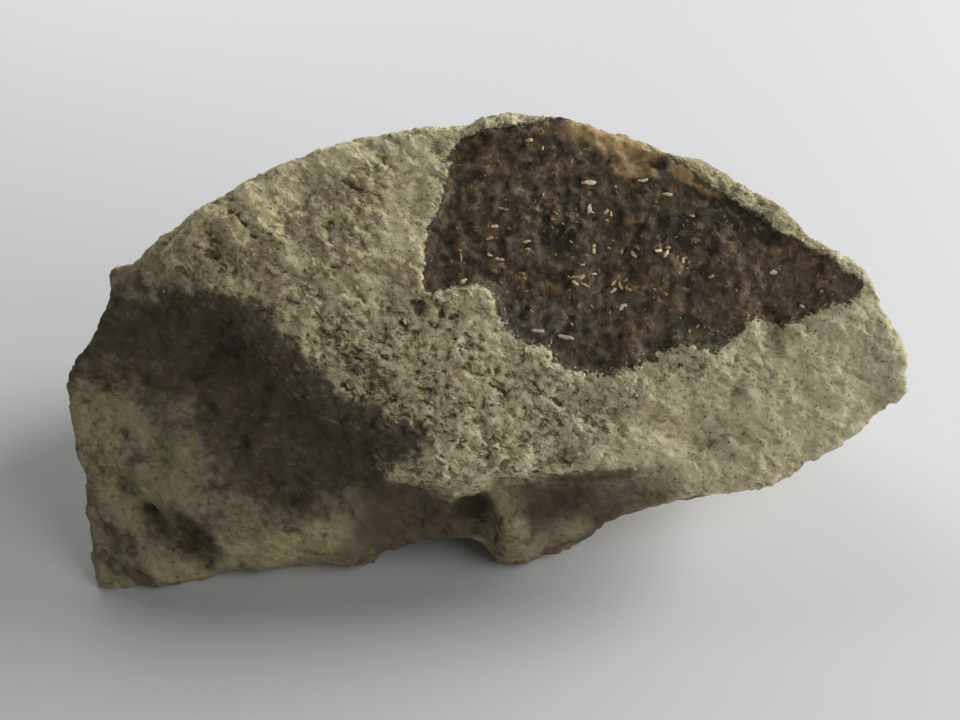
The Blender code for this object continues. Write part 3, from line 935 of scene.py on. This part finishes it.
def buildFlecks(stone, material):
    mesh = stone.data
    tree = BVHTree.FromPolygons([v.co for v in mesh.vertices], [p.vertices for p in mesh.polygons])
    shape = bmesh.new()
    tones = []
    for kind, group in flecks.items():
        for fleck in group:
            place = fleckMatrix(tree, *fleck)
            bmesh.ops.create_icosphere(shape, subdivisions=2, radius=0.5 * mm, matrix=place)
            tones += [fleckTone[kind]] * (len(shape.verts) - len(tones))
    noise.seed_set(fleckShape["seed"])
    for vert in shape.verts:
        knock = noise.noise_vector(vert.co / (fleckShape["knobSize"] * mm))
        vert.co += knock * fleckShape["knobHeight"] * mm
    mesh = bpy.data.meshes.new("largeFlecks")
    shape.to_mesh(mesh)
    shape.free()
    mesh.attributes.new("tone", "FLOAT", "POINT").data.foreach_set("value", tones)
    mesh.materials.append(material)
    mesh.shade_smooth()
    partOfStone(linked(bpy.data.objects.new("largeFlecks", mesh)))


view = {
    "fieldOfView": 40.0, "sensor": 36.0, "nearest": 0.005, "lookDown": 42.0, "away": 203.0,
    "target": (0.0, 0.0, 22.0),
}


def buildCamera():
    camera = linked(bpy.data.objects.new("camera", bpy.data.cameras.new("camera")))
    camera.data.sensor_width = view["sensor"]
    camera.data.lens = view["sensor"] / 2 / math.tan(math.radians(view["fieldOfView"] / 2))
    camera.data.clip_start = view["nearest"]
    down = math.radians(view["lookDown"])
    back = Vector((0.0, -math.cos(down), math.sin(down)))
    target = (Vector(view["target"]) - Vector(middle)) * mm
    camera.location = target + back * view["away"] * mm
    camera.rotation_mode = "QUATERNION"
    camera.rotation_quaternion = (-back).to_track_quat("-Z", "Y")
    bpy.context.scene.camera = camera


floorPaper = {"size": 8.0, "colour": (0.67, 0.675, 0.685, 1.0), "roughness": 0.9}  # in metres


def buildFloor():
    bpy.ops.mesh.primitive_plane_add(size=floorPaper["size"])
    floor = bpy.context.object
    floor.name = "floor"
    values = {"Base Color": floorPaper["colour"], "Roughness": floorPaper["roughness"]}
    floor.data.materials.append(newMaterial("paper", "ShaderNodeBsdfPrincipled", values)[0])


# a low round wall far behind everything, in metres
wall = {"radius": 1.15, "height": 0.46, "sides": 96, "colour": (0.97, 0.98, 1.0, 1.0), "glow": 0.32}


def buildWall():
    bpy.ops.mesh.primitive_cylinder_add(
        vertices=wall["sides"], radius=wall["radius"], depth=wall["height"], end_fill_type="NOTHING",
        location=(0.0, 0.0, wall["height"] / 2),
    )
    around = bpy.context.object
    around.name = "wall"
    values = {"Color": wall["colour"], "Strength": wall["glow"]}
    around.data.materials.append(newMaterial("paleWall", "ShaderNodeEmission", values)[0])


# each lamp's direction round the stone from +X and above the floor, distance and width in metres, and power
lamps = {
    "window": {"round": 25.0, "above": 20.0, "away": 0.80, "width": 0.42, "power": 8.5},
    "behind": {"round": 120.0, "above": 35.0, "away": 0.32, "width": 0.24, "power": 0.40},
    "front": {"round": -32.0, "above": 36.0, "away": 0.32, "width": 0.24, "power": 0.35},
}
lampTarget = (0.0, 0.0, 0.02)


def buildLamp(name, lamp):
    light = linked(bpy.data.objects.new(name, bpy.data.lights.new(name, "AREA")))
    light.data.shape = "DISK"
    light.data.size = lamp["width"]
    light.data.energy = lamp["power"]
    turn, rise = math.radians(lamp["round"]), math.radians(lamp["above"])
    side = Vector((math.cos(turn) * math.cos(rise), math.sin(turn) * math.cos(rise), math.sin(rise)))
    light.location = side * lamp["away"] + Vector(lampTarget)
    light.rotation_mode = "QUATERNION"
    light.rotation_quaternion = side.to_track_quat("Z", "Y")
    light.visible_camera = False


sky = {"colour": (0.93, 0.96, 1.0, 1.0), "strength": 0.03}


def buildSky():
    world = bpy.data.worlds.new("room")
    world.use_nodes = True
    world.node_tree.nodes.clear()
    links = Link(world.node_tree)
    glow = links.make("ShaderNodeBackground", None, {"Color": sky["colour"], "Strength": sky["strength"]})
    links.make("ShaderNodeOutputWorld", None, {"Surface": glow})
    bpy.context.scene.world = world
    bpy.context.scene.view_settings.view_transform = "Standard"


buildCamera()
buildFloor()
buildWall()
print("camera, floor and wall are ready")
for lampName, lamp in lamps.items():
    buildLamp(lampName, lamp)
buildSky()
print("the light is ready")
stone = buildStone(stoneMaterial())
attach(stone, "root")
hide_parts("stromatolite")
scatterOn(stone, "paleGrit", gritPlaces, grainMaterial("gritStone", 0.85, gritTones))
fleckShell = grainMaterial("fleckShell", 0.5, fleckTones)
scatterOn(stone, "goldFlecks", fleckPlaces, fleckShell)
buildFlecks(stone, fleckShell)
scatterOn(stone, "filmSpecks", speckPlaces, grainMaterial("speckCrust", 0.7, speckTones))
